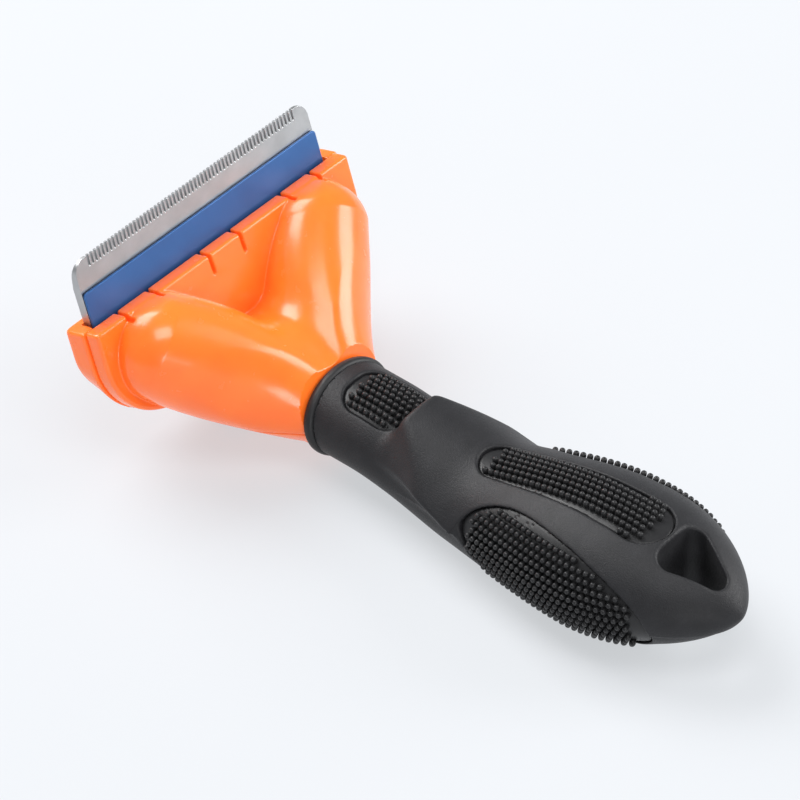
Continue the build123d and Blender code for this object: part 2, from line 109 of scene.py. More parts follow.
CORE_SCREW_PLACES = (7.0, 15.0)    # towards the head
CORE_SCREW_RISE = 2.8
SCREW_BOSS_RADIUS = 4.3
SCREW_BOSS_RISE = 0.8

# Blade and ejector
BLADE_WIDTH = 66.0
BLADE_FRONT = 1.25
BLADE_BACK = 3.25
EDGE_THICKNESS = 0.8
GROUND_HEIGHT = 5.5
BLADE_TIP = 13.0
BLADE_FOOT = -6.0
BLADE_CORNER = 3.0
GAP_COUNT = 59
TOOTH_PITCH = 1.0
GAP_WIDTH = 0.44
GAP_MOUTH = 0.56
TOOTH_DEPTH = 2.3
BAR_WIDTH = 66.0
BAR_FRONT = 0.5
BAR_BACK = 1.1
BAR_TOP = 6.7
BAR_FOOT = -6.5
BAR_CORNER = 0.9
BAR_LEG_PLACE = 12.5
BAR_LEG_HALF_WIDTH = 6.0
BAR_LEG_FOOT = -18.9
HOLDER_HALF_WIDTH = 26.0
HOLDER_BACK = 6.25
HOLDER_TOP = -1.5
HOLDER_FOOT = -7.5
PIN_SPACING = 18.0
PIN_DEPTH = 4.75
SPRING_RADIUS = 1.5
SPRING_WIRE = 0.2
SPRING_TURNS = 8
SPRING_FOOT = -18.1

# Collar and grip. Distances are measured behind the collar.
COLLAR_TILT = math.radians(16.6)
COLLAR_HALF_THICKNESS = 1.1
COLLAR_HALF_WIDTH = 11.6
COLLAR_HALF_HEIGHT = 9.0
NECK_HALF_WIDTH = 10.9
NECK_HALF_HEIGHT = 8.3
SWELL_HALF_WIDTH = 17.8
SWELL_HALF_HEIGHT = 13.0
SWELL_START, SWELL_AT = 18.0, 66.0
DROP_START, DROP_END = 8.0, 34.0
TAIL_RISE = 0.06
GRIP_LENGTH = 95.8
TAIL_POWER = 1.5                   # higher makes the end fuller
PAD_RECESS = 0.85
PAD_BASE = 0.5
NUB_PITCH = 1.42
NUB_ROW = 1.5
NUB_RADIUS = 0.6
NUB_HEIGHT = 1.3
NUB_MARGIN = 0.75                  # between the nubs' centres and the pad's outline
HOLE = [(-3.4, 81.7), (3.4, 81.7), (0.0, 88.6)]     # centres of its corners: across, behind
HOLE_CORNER = 2.6
SEAM_HEIGHT = 0.6
SEAM_STEP = 0.3
SEAM_START = 80.0


# ---------------------------------------------------------------- distance fields

def smooth_union(a, b, blend):
    """The nearer of two distances, with a fillet between the shapes."""
    share = np.clip(0.5 + 0.5 * (b - a) / blend, 0, 1)
    return b + (a - b) * share - blend * share * (1 - share)


def smooth_both(a, b, blend):
    """What two shapes share, with its edges rounded."""
    return -smooth_union(-a, -b, blend)


def smooth_cut(a, b, blend):
    """The first shape without the second, with the edges rounded."""
    return smooth_both(a, -b, blend)


def ease(part):
    """A smooth step from 0 to 1."""
    part = np.clip(part, 0, 1)
    return part * part * (3 - 2 * part)


def rounded_box(a, b, half_a, half_b, corner):
    """Distance to a rounded rectangle about the origin, in two coordinates."""
    out_a = np.abs(a) - (half_a - corner)
    out_b = np.abs(b) - (half_b - corner)
    outside = np.hypot(np.maximum(out_a, 0), np.maximum(out_b, 0))
    return outside + np.minimum(np.maximum(out_a, out_b), 0) - corner


def span(a, low, high):
    """Distance to a slab between two values of one coordinate."""
    return np.maximum(low - a, a - high)


def ellipse(a, b, half_a, half_b):
    scaled = np.hypot(a / half_a, b / half_b)
    slope = np.hypot(a / half_a**2, b / half_b**2) + 1e-9
    return scaled * (scaled - 1) / slope


def head_coordinates(points):
    """(x, depth, height) of points in the head's own directions."""
    forward = points[:, 1] - LIP_REACH
    up = points[:, 2] - LIP_RISE
    depth = forward * LEAN_SIN - up * LEAN_COS
    height = forward * LEAN_COS + up * LEAN_SIN
    return points[:, 0], depth, height


def head_point(x, depth, height):
    return np.array((
        x,
        LIP_REACH + depth * LEAN_SIN + height * LEAN_COS,
        LIP_RISE - depth * LEAN_COS + height * LEAN_SIN,
    ))


def past_collar(points, distance):
    """Distance towards the head from a plane along the collar's axis."""
    return points[:, 1] * math.cos(COLLAR_TILT) - points[:, 2] * math.sin(COLLAR_TILT) - distance


# ---------------------------------------------------------------- head shapes

ARM_START = np.array((3.4, -1.0, 0.2))
ARM_END = head_point(22.4, -4.0, -9.9)
ARM_BEND = np.array((-1.0, 4.0, -0.5))         # how far the arm's middle bows away from its chord
ARM_RADII = (5.4, 13.1, 10.4)
ARM_SPREAD = 0.03                            # how much wider than deep its end is


def lobe(points):
    """One arm of the Y that joins the neck to the lip: a tube with a round end at the lip."""
    chord = ARM_END - ARM_START
    along = np.clip((points - ARM_START) @ chord / (chord @ chord), -0.3, 1)
    bow = (4 * along * (1 - along))[:, None]
    centre = ARM_START + along[:, None] * chord + bow * ARM_BEND
    start, middle, end = ARM_RADII
    radius = start * (1 - along)**2 + 2 * middle * along * (1 - along) + end * along**2
    offset = points - centre
    offset[:, 0] /= 1 + ARM_SPREAD * np.maximum(along, 0)
    return np.linalg.norm(offset, axis=1) - radius


def grown(start, rise, bend, grow):
    """A size that follows a parabola."""
    return start + rise * grow + bend * grow**2


NECK_REACH = 34.0
NECK_SPAN = 32.0                   # over which the sizes below grow by their next two numbers
NECK_WIDTH = (10.0, 1.8, 9.0)
NECK_HEIGHT = (7.8, 9.6, -9.6)
NECK_MIDDLE = (-0.2, -3.2, 3.2)
HOOD_WIDTH = (11.2, 0.55, 0.045)   # grows with each millimetre
HOOD_HEIGHT = (9.0, 0.5, 0.05)
HOOD_RISE = 0.1


def neck(points):
    """The housing's waist, as ellipses that grow from the collar towards the head."""
    grow = np.clip(points[:, 1], -6, NECK_REACH) / NECK_SPAN
    up = points[:, 2] - grown(*NECK_MIDDLE, grow)
    field = ellipse(points[:, 0], up, grown(*NECK_WIDTH, grow), grown(*NECK_HEIGHT, grow))
    return np.maximum(field, points[:, 1] - NECK_REACH)


def hood(points):
    """A cone that opens from the collar and keeps the lobes' ends within the collar's width."""
    reach = np.clip(points[:, 1], 0, 60)
    up = points[:, 2] - HOOD_RISE * reach
    return ellipse(points[:, 0], up, grown(*HOOD_WIDTH, reach), grown(*HOOD_HEIGHT, reach))


def housing(points):
    """Both arms and the waist, blended more softly further from the collar."""
    mirrored = points * np.array((-1, 1, 1))
    away = ease(points[:, 1] / 14)
    lobes = smooth_union(lobe(points), lobe(mirrored), 1.5 + 8.5 * away)
    body = smooth_union(lobes, neck(points), 1.0 + 4.0 * away)
    return smooth_both(body, hood(points), 4.5)


ABOVE_LIP = 3.0
CARRIAGE_ROOM_FOOT = -20.6
ROOMS = (                          # half width, then front and back, then foot and top
    (BLADE_WIDTH / 2 + 0.5, (-0.1, BLADE_BACK + 0.05), (BLADE_FOOT - 0.1, ABOVE_LIP)),
    (BAR_WIDTH / 2 + 0.6, (-0.1, BLADE_FRONT), (BAR_FOOT - 0.6, ABOVE_LIP)),
    (HOLDER_HALF_WIDTH + 0.1, (0.0, HOLDER_BACK + 0.05), (HOLDER_FOOT - 0.1, HOLDER_TOP + 0.05)),
    (23.3, (-0.1, 7.6), (CARRIAGE_ROOM_FOOT, HOLDER_FOOT)),      # the carriage
    (21.0, (-1.6, 0.5), (CARRIAGE_ROOM_FOOT, -7.0)),             # the bar's legs and screws
    (5.3, (0.0, 11.5), (-18.7, -8.7)),                           # the button's stem
)


def rooms(points):
    """Space inside the housing for the blade, the bar and the carriage on its travel."""
    x, depth, height = head_coordinates(points)
    field = np.full(len(points), 1e3)
    for half_width, depths, heights in ROOMS:
        room = np.maximum(span(depth, *depths), span(height, *heights))
        field = np.minimum(field, np.maximum(room, np.abs(x) - half_width))
    return field


def tang_room(points):
    """Space in the housing's neck for the tang of the handle's core."""
    x, forward, up = points.T
    section = rounded_box(x, up, TANG_HALF_WIDTH, TANG_HALF_HEIGHT, TANG_CORNER)
    return np.maximum(section, span(forward, *TANG_REACH))


def screw_rooms(points):
    """Holes from below and behind that the shell screws and the core screws are driven through."""
    x, depth, height = head_coordinates(points)
    side = np.abs(x)
    rise = points[:, 2] + RESTING_DROP
    place, level = END_SCREW_PLACE
    field = np.hypot(side - place, height - level) - SHELL_SCREW_RADIUS
    field = np.maximum(field, END_SCREW_DEPTH - depth)
    place, forward = NECK_SCREW_PLACE
    column = np.hypot(side - place, points[:, 1] - forward) - SHELL_SCREW_RADIUS
    field = np.minimum(field, np.maximum(column, rise - NECK_SCREW_RISE))
    for forward in CORE_SCREW_PLACES:
        column = np.hypot(x, points[:, 1] - forward) - CORE_SCREW_RADIUS
        field = np.minimum(field, np.maximum(column, rise - CORE_SCREW_RISE))
    return field


def screw_boss(points):
    """A low boss under the neck, around the two screws that hold the handle's core."""
    along = np.clip(points[:, 1], *CORE_SCREW_PLACES)
    column = np.hypot(points[:, 0], points[:, 1] - along) - SCREW_BOSS_RADIUS
    return smooth_both(column, span(points[:, 2], SCREW_BOSS_RISE - RESTING_DROP, 0), 0.8)


def front_zone(points):
    """What belongs to the front shell: in front of the blade, and above the parting line."""
    depth = head_coordinates(points)[1]
    return np.maximum(depth, SHELL_SPLIT - points[:, 2])


def flap(points):
    """The front wall with rounded lower corners and a scooped middle."""
    x, depth, height = head_coordinates(points)
    outline = rounded_box(x, height, FLAP_HALF_WIDTH, HEAD_DROP, HEAD_CORNER)
    scoop = ease(-height / SCOOP_FOOT) * (1 - ease((np.abs(x) - SCOOP_HALF_WIDTH) / SCOOP_FADE))
    front = -depth - LIP_FRONT - SCOOP_RISE * scoop
    field = smooth_both(outline, front, 0.9)
    return smooth_both(field, height, 0.7)


def slits(points):
    """Round-ended slits down from the lip."""
    x, depth, height = head_coordinates(points)
    field = np.full(len(points), 1e3)
    for place, drop in SLITS:
        width = np.hypot(np.abs(x) - place, np.minimum(height + drop - 0.4, 0)) - SLIT_WIDTH / 2
        field = np.minimum(field, width)
    return np.maximum(field, -SLIT_REACH - depth)


def front_shell(points):
    """The upper half of the housing with the front wall and its slits."""
    height = head_coordinates(points)[2]
    body = smooth_both(housing(points), height + 0.1, 0.6)
    body = smooth_union(flap(points), body, 0.3)
    body = smooth_cut(body, slits(points), 0.3)
    body = smooth_both(body, front_zone(points), 0.5)
    body = np.maximum(body, -past_collar(points, COLLAR_HALF_THICKNESS))
    body = np.maximum(body, -rooms(points))
    return np.maximum(body, -tang_room(points))


def rear_shell(points):
    """A plate with a bulge behind the blade, and the lower half of the housing."""
    x, depth, height = head_coordinates(points)
    taper = 1 + REAR_TAPER * np.maximum(depth, 0)
    outline = rounded_box(x, height * taper, HEAD_HALF_WIDTH, HEAD_DROP, HEAD_CORNER)
    plate = smooth_both(outline, depth - LIP_BACK, 1.6)
    bulge = rounded_box(x, height - BULGE_TOP, BULGE_HALF_WIDTH, BULGE_DROP + BULGE_TOP, BULGE_CORNER)
    bulge = smooth_both(smooth_both(bulge, depth - BULGE_DEPTH, 2.4), height - BULGE_TOP, 1.6)
    head = smooth_both(smooth_union(plate, bulge, 1.0), height, 0.8)
    head = np.maximum(head, -depth - 0.5)
    body = smooth_both(housing(points), depth - BULGE_DEPTH, 3.0)
    body = smooth_union(head, body, 1.2)
    body = smooth_union(body, screw_boss(points), 1.6)
    body = smooth_both(body, -front_zone(points), 0.5)
    body = smooth_both(body, -RESTING_DROP - points[:, 2], 0.8)
    body = np.maximum(body, -past_collar(points, COLLAR_HALF_THICKNESS))
    body = np.maximum(body, -rooms(points))
    body = np.maximum(body, -screw_rooms(points))
    return np.maximum(body, -tang_room(points))


# ---------------------------------------------------------------- grip shapes

def grip_sizes(behind):
    """Half width, half height and middle level of the grip's section."""
    swell = ease((behind - SWELL_START) / (SWELL_AT - SWELL_START))
    drop = ease((behind - DROP_START) / (DROP_END - DROP_START))
    half_width = NECK_HALF_WIDTH + swell * (SWELL_HALF_WIDTH - NECK_HALF_WIDTH)
    half_height = NECK_HALF_HEIGHT + swell * (SWELL_HALF_HEIGHT - NECK_HALF_HEIGHT)
    underside = -NECK_HALF_HEIGHT - drop * (RESTING_DROP - NECK_HALF_HEIGHT)
    middle = underside + half_height + TAIL_RISE * np.maximum(behind - SWELL_AT, 0)
    return half_width, half_height, middle


def grip_body(points):
    """The grip's ellipses, closed by a round tail."""
    behind = -points[:, 1]
    half_width, half_height, middle = grip_sizes(behind)
    around = np.hypot(points[:, 0] / half_width, (points[:, 2] - middle) / half_height)
    tail = np.maximum(behind - SWELL_AT, 0) / (GRIP_LENGTH - SWELL_AT)
    return half_width * (np.sqrt((around + 1e-9)**TAIL_POWER + tail**2) - 1) * 2 / TAIL_POWER


THUMB_PAD_AT = 9.6
THUMB_PAD_SIZE = (6.3, 7.5, 4.6)               # half width, half length, corner


def thumb_column(points):
    """The thumb pad's outline, a rounded rectangle seen from above."""
    return rounded_box(points[:, 0], points[:, 1] + THUMB_PAD_AT, *THUMB_PAD_SIZE)


STOP_AT = 17.6
STOP_END = 38.0
STOP_HEIGHT = 11.4
STOP_FALL = 0.19                               # for each millimetre behind its front
STOP_CROWN = 0.035
STOP_HALF_WIDTH = 5.0
STOP_FADE = (3.0, 4.0)                         # height where its sides start to draw in, and how far


def thumb_stop(points):
    """A wedge behind the thumb pad: a steep front, and sides that spread and run down backwards."""
    side = np.abs(points[:, 0])
    behind = -points[:, 1]
    height = points[:, 2]
    top = height - STOP_HEIGHT + STOP_FALL * (behind - 18) + STOP_CROWN * side**2
    front = STOP_AT + 0.3 * (height - 9) - behind
    spread = (2.6 * (side - STOP_HALF_WIDTH) - (behind - STOP_AT)) / 2.8 - 0.55 * (10 - height)
    fade_top, fade_drop = STOP_FADE
    spread += fade_drop * ease((fade_top - height) / fade_drop)
    wedge = smooth_both(smooth_both(top, front, 1.2), spread, 1.2)
    within = np.maximum(behind - STOP_END, grip_body(points) - 6.0)
    return np.maximum(wedge, np.maximum(within, -height))


def grip_outside(points):
    return smooth_union(grip_body(points), thumb_stop(points), 2.4)


TOP_PAD_ENDS = (39.0, 72.3)
TOP_PAD_RADIUS = 4.8
TOP_PAD_WIDENING = 0.033


def top_column(points):
    """The top pad's outline, a long drop seen from above."""
    behind = -points[:, 1]
    nearest = np.clip(behind, *TOP_PAD_ENDS)
    radius = TOP_PAD_RADIUS + (nearest - TOP_PAD_ENDS[0]) * TOP_PAD_WIDENING
    return np.hypot(points[:, 0], behind - nearest) - radius


SIDE_PAD_AT = 61.3
SIDE_PAD_HEIGHT = 1.0
SIDE_PAD_SIZE = (22.2, 9.6)                    # half length, half height


def side_column(points):
    """A side pad's outline, a slightly slanted oval seen from the side."""
    slant = np.minimum(points[:, 2] - 2, 0) * 0.3
    behind = -points[:, 1] + slant
    return ellipse(behind - SIDE_PAD_AT, points[:, 2] - SIDE_PAD_HEIGHT, *SIDE_PAD_SIZE)


PADS = {                                       # outline, quarter turns, where the nubs start and end
    "thumb_pad": (thumb_column, 0, (4.4, 17.0)),
    "top_pad": (top_column, 0, (37.6, 74.6)),
    "side_pad_left": (side_column, -1, (42.0, 81.0)),
    "side_pad_right": (side_column, 1, (42.0, 81.0)),
}


def pad_area(name, points):
    """A pad's outline, on its own side of the grip only."""
    column, side, _ = PADS[name]
    facing = side * points[:, 0] if side else points[:, 2]
    return np.maximum(column(points), -facing)


def hang_hole(points):
    """A rounded triangle, its wide side towards the head."""
    place = np.stack((points[:, 0], -points[:, 1]), axis=1)
    near, outside = np.full(len(points), 1e6), np.full(len(points), -1e6)
    for start, end in zip(HOLE, HOLE[1:] + HOLE[:1]):
        start, edge = np.array(start), np.array(end) - np.array(start)
        offset = place - start
        share = np.clip(offset @ edge / (edge @ edge), 0, 1)
        near = np.minimum(near, np.linalg.norm(offset - share[:, None] * edge, axis=1))
        across = (offset[:, 0] * edge[1] - offset[:, 1] * edge[0]) / np.linalg.norm(edge)
        outside = np.maximum(outside, across)
    return np.where(outside > 0, near, -near) - HOLE_CORNER


def grip(points):
    """The grip with recesses for its pads, the hang hole and the seam round its end."""
    outside = grip_outside(points)
    below = ease((SEAM_HEIGHT - points[:, 2]) / 0.5 + 0.5)
    seam = below * ease((-points[:, 1] - SEAM_START) / 4)
    body = outside + SEAM_STEP * seam
    for name in PADS:
        area = pad_area(name, points)
        room = smooth_both(area, -(outside + PAD_RECESS + PAD_BASE), 0.2)
        body = smooth_cut(body, room, 0.8)
    body = smooth_cut(body, hang_hole(points), 1.0)
    body = np.maximum(body, past_collar(points, -COLLAR_HALF_THICKNESS))
    return np.maximum(body, -RESTING_DROP - points[:, 2])


def pad_base(name):
    def field(points):
        outside = grip_outside(points)
        area = pad_area(name, points) + 0.15
        layer = span(outside, -(PAD_RECESS + PAD_BASE + 0.1), -PAD_RECESS)
        return smooth_both(area, layer, 0.3)
    return field


def collar(points):
    """A tilted oval ring with a round rim."""
    around = points[:, 2] * math.cos(COLLAR_TILT) + points[:, 1] * math.sin(COLLAR_TILT)
    edge = ellipse(points[:, 0], around, COLLAR_HALF_WIDTH, COLLAR_HALF_HEIGHT)
    return smooth_both(edge, np.abs(past_collar(points, 0)) - COLLAR_HALF_THICKNESS, 1.1)


# ---------------------------------------------------------------- from fields to meshes

BLOCK = 8                          # grid steps along a block's side
CHUNK = 160                        # blocks worked out together


def sampled(field, low, step, blocks):
    """Field values on a grid. Blocks that the surface can't reach take their centre's value."""
    size = BLOCK * step
    index = np.stack(np.meshgrid(*[np.arange(n) for n in blocks], indexing="ij"), axis=-1)
    index = index.reshape(-1, 3)
    middles = field(low + (index + 0.5) * size)
    values = middles.reshape(blocks)
    for axis in range(3):
        values = np.repeat(values, BLOCK, axis)
    values = np.pad(values, ((0, 1),) * 3, mode="edge")
    near = index[np.abs(middles) < size * 1.9]
    steps = np.arange(BLOCK + 1)
    inner = np.stack(np.meshgrid(steps, steps, steps, indexing="ij"), axis=-1).reshape(-1, 3)
    for start in range(0, len(near), CHUNK):
        group = near[start:start + CHUNK]
        corners = (group[:, None, :] * BLOCK + inner[None]) * step + low
        found = field(corners.reshape(-1, 3)).reshape(len(group), BLOCK + 1, BLOCK + 1, BLOCK + 1)
        for (i, j, k), cube in zip(group * BLOCK, found):
            values[i:i + BLOCK + 1, j:j + BLOCK + 1, k:k + BLOCK + 1] = cube
    return values


CORNERS = [(i, j, k) for i in (0, 1) for j in (0, 1) for k in (0, 1)]
EDGES = [
    (a, b) for a in range(8) for b in range(a + 1, 8)
    if sum(abs(u - v) for u, v in zip(CORNERS[a], CORNERS[b])) == 1
]


def surface_net(values, low, step):
    """Points and four-sided faces of the zero surface of a grid of values."""
    inside = values < 0
    shape = tuple(n - 1 for n in values.shape)
    count = np.zeros(shape, np.int8)
    for i, j, k in CORNERS:
        count += inside[i:i + shape[0], j:j + shape[1], k:k + shape[2]]
    cells = np.argwhere((count > 0) & (count < 8))
    number = np.full(shape, -1, np.int64)
    number[tuple(cells.T)] = np.arange(len(cells))
    at_corner = [values[tuple((cells + c).T)] for c in CORNERS]
    total = np.zeros((len(cells), 3))
    crossed = np.zeros(len(cells))
    for a, b in EDGES:
        crosses = (at_corner[a] < 0) != (at_corner[b] < 0)
        gap = np.where(crosses, at_corner[a] - at_corner[b], 1)
        share = np.where(crosses, at_corner[a] / gap, 0)[:, None]
        place = np.array(CORNERS[a]) + share * (np.array(CORNERS[b]) - np.array(CORNERS[a]))
        total += place * crosses[:, None]
        crossed += crosses
    points = low + (cells + total / crossed[:, None]) * step
    faces = []
    for axis in range(3):
        ahead = np.zeros(3, int)
        ahead[axis] = 1
        ends = tuple(slice(0, n - d) for n, d in zip(values.shape, ahead))
        starts = tuple(slice(d, None) for d in ahead)
        edges = np.argwhere(inside[ends] != inside[starts])
        side_b = np.eye(3, dtype=int)[(axis + 1) % 3]
        side_c = np.eye(3, dtype=int)[(axis + 2) % 3]
        others = [(axis + 1) % 3, (axis + 2) % 3]
        across = edges[:, others]
        keep = (across > 0) & (across < np.array(shape)[others])
        edges = edges[keep.all(axis=1)]
        ring = [edges, edges - side_b, edges - side_b - side_c, edges - side_c]
        quads = np.stack([number[tuple(cell.T)] for cell in ring], axis=1)
        outward = inside[tuple(edges.T)]
        quads[~outward] = quads[~outward][:, ::-1]
        faces.append(quads)
    return points, np.concatenate(faces)


def slope_of(field, points, reach=0.02):
    """The direction in which a field grows fastest, by small steps both ways."""
    slope = np.zeros_like(points)
    for axis in range(3):
        shift = np.zeros(3)
        shift[axis] = reach
        slope[:, axis] = (field(points + shift) - field(points - shift)) / (2 * reach)
    return slope


def settle(field, points, most, rounds=3):
    """Moves points onto the zero surface of a field."""
    for _ in range(rounds):
        value = field(points)
        slope = slope_of(field, points)
        shift = slope * (value / np.maximum((slope**2).sum(axis=1), 0.04))[:, None]
        length = np.linalg.norm(shift, axis=1, keepdims=True)
        points = points - shift * np.minimum(1, most / np.maximum(length, 1e-9))
    return points


def in_frame(points):
    """Millimetres about the collar's centre, as metres in the frame."""
    return np.asarray(points) * MM + COLLAR_CENTRE


def mesh_piece(name, points, faces, material, normals=None):
    """A smooth mesh object from millimetre points and faces with equal corner counts."""
    mesh = bpy.data.meshes.new(name)
    faces = np.asarray(faces)
    corners = faces.shape[1]
    mesh.vertices.add(len(points))
    mesh.vertices.foreach_set("co", in_frame(points).astype(np.float32).ravel())
    mesh.loops.add(faces.size)
    mesh.loops.foreach_set("vertex_index", faces.astype(np.int32).ravel())
    mesh.polygons.add(len(faces))
    mesh.polygons.foreach_set("loop_start", np.arange(0, faces.size, corners, dtype=np.int32))
    mesh.update(calc_edges=True)
    mesh.validate()
    mesh.shade_smooth()
    if normals is not None:
        mesh.normals_split_custom_set_from_vertices(normals.tolist())
    mesh.materials.append(material)
    piece = bpy.data.objects.new(name, mesh)
    bpy.context.scene.collection.objects.link(piece)
    return piece


def surface(field, low, high, step):
    """Points, faces and normals of a field's zero surface between two corners."""
    low = np.array(low, float) - step * 1.37
    blocks = tuple(int(math.ceil((h - lo) / (BLOCK * step))) + 1 for lo, h in zip(low, high))
    values = sampled(field, low, step, blocks)
    points, faces = surface_net(values, low, step)
    points = settle(field, points, step)
    normals = slope_of(field, points)
    normals /= np.maximum(np.linalg.norm(normals, axis=1, keepdims=True), 1e-9)
    return points, faces, normals


def placed(piece, body, replaced):
    """Tells the frame which body a piece rides on and the nodes it stands for."""
    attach(piece, body)
    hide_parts(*replaced)
    return piece


def moulded(name, field, low, high, material, step=FINE_STEP):
    """A moulded piece of the tool's fixed body, which stands for the node of the same name."""
    points, faces, normals = surface(field, low, high, step)
    piece = mesh_piece(name, points, faces, material, normals)
    return placed(piece, "body", (name,))


# ---------------------------------------------------------------- nubs

def nub_shape(segments=12):
    """One nub about the origin, standing along +Z: its points and faces."""
    rings = [(1.0, -0.15), (1.0, 0.45), (0.93, 0.68), (0.74, 0.86), (0.42, 0.97)]
    angles = np.arange(segments) * 2 * math.pi / segments
    points = []
    for radius, height in rings:
        for angle in angles:
            points.append((
                NUB_RADIUS * radius * math.cos(angle),
                NUB_RADIUS * radius * math.sin(angle),
                NUB_HEIGHT * height,
            ))
    faces = []
    for level in range(len(rings) - 1):
        for i in range(segments):
            j = (i + 1) % segments
            low, high = level * segments, (level + 1) * segments
            faces.append((low + i, low + j, high + j, high + i))
    top = len(points)
    points.append((0, 0, NUB_HEIGHT))
    points.append((0, 0, -0.15 * NUB_HEIGHT))
    last = (len(rings) - 1) * segments
    for i in range(0, segments, 2):
        j, k = (i + 1) % segments, (i + 2) % segments
        faces.append((last + i, last + j, last + k, top))
        faces.append((k, j, i, top + 1))
    return np.array(points), np.array(faces)


def pad_lattice(name):
    """Places of one pad's nubs on the grip, in staggered rows along it."""
    _, side, (nearest, farthest) = PADS[name]
    angles = np.linspace(-1.2, 1.2, 241)
    places = []
    columns = int((farthest - nearest) / (NUB_PITCH / 2))
    for column in range(columns + 1):
        behind = nearest + column * NUB_PITCH / 2
        half_width, half_height, middle = [float(a) for a in grip_sizes(np.array(behind))]
        tail = max(behind - SWELL_AT, 0) / (GRIP_LENGTH - SWELL_AT)
        size = (1 - tail**2)**(1 / TAIL_POWER)
        turned = angles + side * math.pi / 2
        x = half_width * size * np.sin(turned)
        z = middle + half_height * size * np.cos(turned)
        along = np.concatenate(([0], np.cumsum(np.hypot(np.diff(x), np.diff(z)))))
        along -= along[len(angles) // 2]
        rows = np.arange(-9, 10) + 0.5
        rows = rows[(np.arange(len(rows)) + column) % 2 == 0]
        for row in rows * NUB_ROW:
            if along[0] < row < along[-1]:
                places.append((np.interp(row, along, x), -behind, np.interp(row, along, z)))
    return np.array(places)


def pad(name, material):
    """A pad's base layer with its nubs, as one piece."""
    column = PADS[name][0]
    places = pad_lattice(name)

    def floor(points):
        return grip_outside(points) + PAD_RECESS

    places = settle(floor, places, 1.0, rounds=6)
    places = places[column(places) < -NUB_MARGIN]
    up = slope_of(grip_outside, places)
    up /= np.linalg.norm(up, axis=1, keepdims=True)
    side_way = np.cross(up, np.array((0.0, 1.0, 0.0)))
    side_way /= np.linalg.norm(side_way, axis=1, keepdims=True)
    forward = np.cross(up, side_way)
    nub, nub_faces = nub_shape()
    turned = (
        places[:, None, :]
        + nub[None, :, 0, None] * side_way[:, None, :]
        + nub[None, :, 1, None] * forward[:, None, :]
        + nub[None, :, 2, None] * up[:, None, :]
    )
    starts = np.arange(len(places))[:, None, None] * len(nub)
    nubs = turned.reshape(-1, 3)
    faces = (nub_faces[None] + starts).reshape(-1, 4)
    low = places.min(axis=0) - 5
    high = places.max(axis=0) + 5
    base, base_faces, _ = surface(pad_base(name), low, high, FINE_STEP)
    points = np.concatenate((base, nubs))
    faces = np.concatenate((base_faces, faces + len(base)))
    piece = mesh_piece(name, points, faces, material)
    return placed(piece, "body", (name,))


# ---------------------------------------------------------------- flat and swept metal pieces

def plate_piece(name, points, faces, material, bevel, segments):
    """A flat-sided object from millimetre points, with bevelled edges."""
    mesh = bpy.data.meshes.new(name)
    mesh.from_pydata(in_frame(points).tolist(), [], faces)
    mesh.validate()
    mesh.materials.append(material)
    for polygon in mesh.polygons:
        polygon.use_smooth = True
    piece = bpy.data.objects.new(name, mesh)
    bpy.context.scene.collection.objects.link(piece)
    edge = piece.modifiers.new("edge", "BEVEL")
    edge.width = bevel * MM
    edge.segments = segments
    edge.limit_method = "ANGLE"
    edge.angle_limit = math.radians(40)
    edge.harden_normals = True
    return piece


def cut_plate(name, outline, front, back, material, bevel, segments=2, folds=()):
    """A plate with an outline of (x, height) points. Its back depth may follow the height, with
    folds across its back between pairs of outline points."""
    count = len(outline)
    back_depth = back if callable(back) else lambda height: back
    points = [head_point(x, front, height) for x, height in outline]
    points += [head_point(x, back_depth(height), height) for x, height in outline]
    faces = [list(range(count))]
    loop = list(range(count))
    for first, last in folds:
        faces.append([i + count for i in loop if first <= i <= last][::-1])
        loop = [i for i in loop if not first < i < last]
    faces.append([i + count for i in loop][::-1])
    for i in range(count):
        j = (i + 1) % count
        faces.append([j, i, i + count, j + count])
    return plate_piece(name, points, faces, material, bevel, segments)


def arc(centre_x, centre_height, radius, start, end, steps=6):
    """Points along an arc between two angles in degrees."""
    turns = [math.radians(start + (end - start) * i / steps) for i in range(steps + 1)]
    return [(centre_x + radius * math.cos(t), centre_height + radius * math.sin(t)) for t in turns]


def blade_outline():
    """Clockwise from the left foot: up the side, along the teeth with their round gaps, and down."""
    half = BLADE_WIDTH / 2
    fold = BLADE_TIP - GROUND_HEIGHT
    outline = [(-half, BLADE_FOOT), (-half, fold)]
    outline += arc(-half + BLADE_CORNER, BLADE_TIP - BLADE_CORNER, BLADE_CORNER, 180, 90)
    first = -TOOTH_PITCH * (GAP_COUNT - 1) / 2
    root = BLADE_TIP - TOOTH_DEPTH + GAP_WIDTH / 2
    for i in range(GAP_COUNT):
        x = first + i * TOOTH_PITCH
        outline.append((x - GAP_MOUTH / 2, BLADE_TIP))
        outline += arc(x, root, GAP_WIDTH / 2, 180, 360, 4)
        outline.append((x + GAP_MOUTH / 2, BLADE_TIP))
    outline += arc(half - BLADE_CORNER, BLADE_TIP - BLADE_CORNER, BLADE_CORNER, 90, 0)
    outline += [(half, fold), (half, BLADE_FOOT)]
    return outline


def blade_back(height):
    """Depth of the blade's back face, which is ground towards the tips of the teeth."""
    ground = max(height - BLADE_TIP + GROUND_HEIGHT, 0) / GROUND_HEIGHT
    return BLADE_BACK - ground * (BLADE_BACK - BLADE_FRONT - EDGE_THICKNESS)


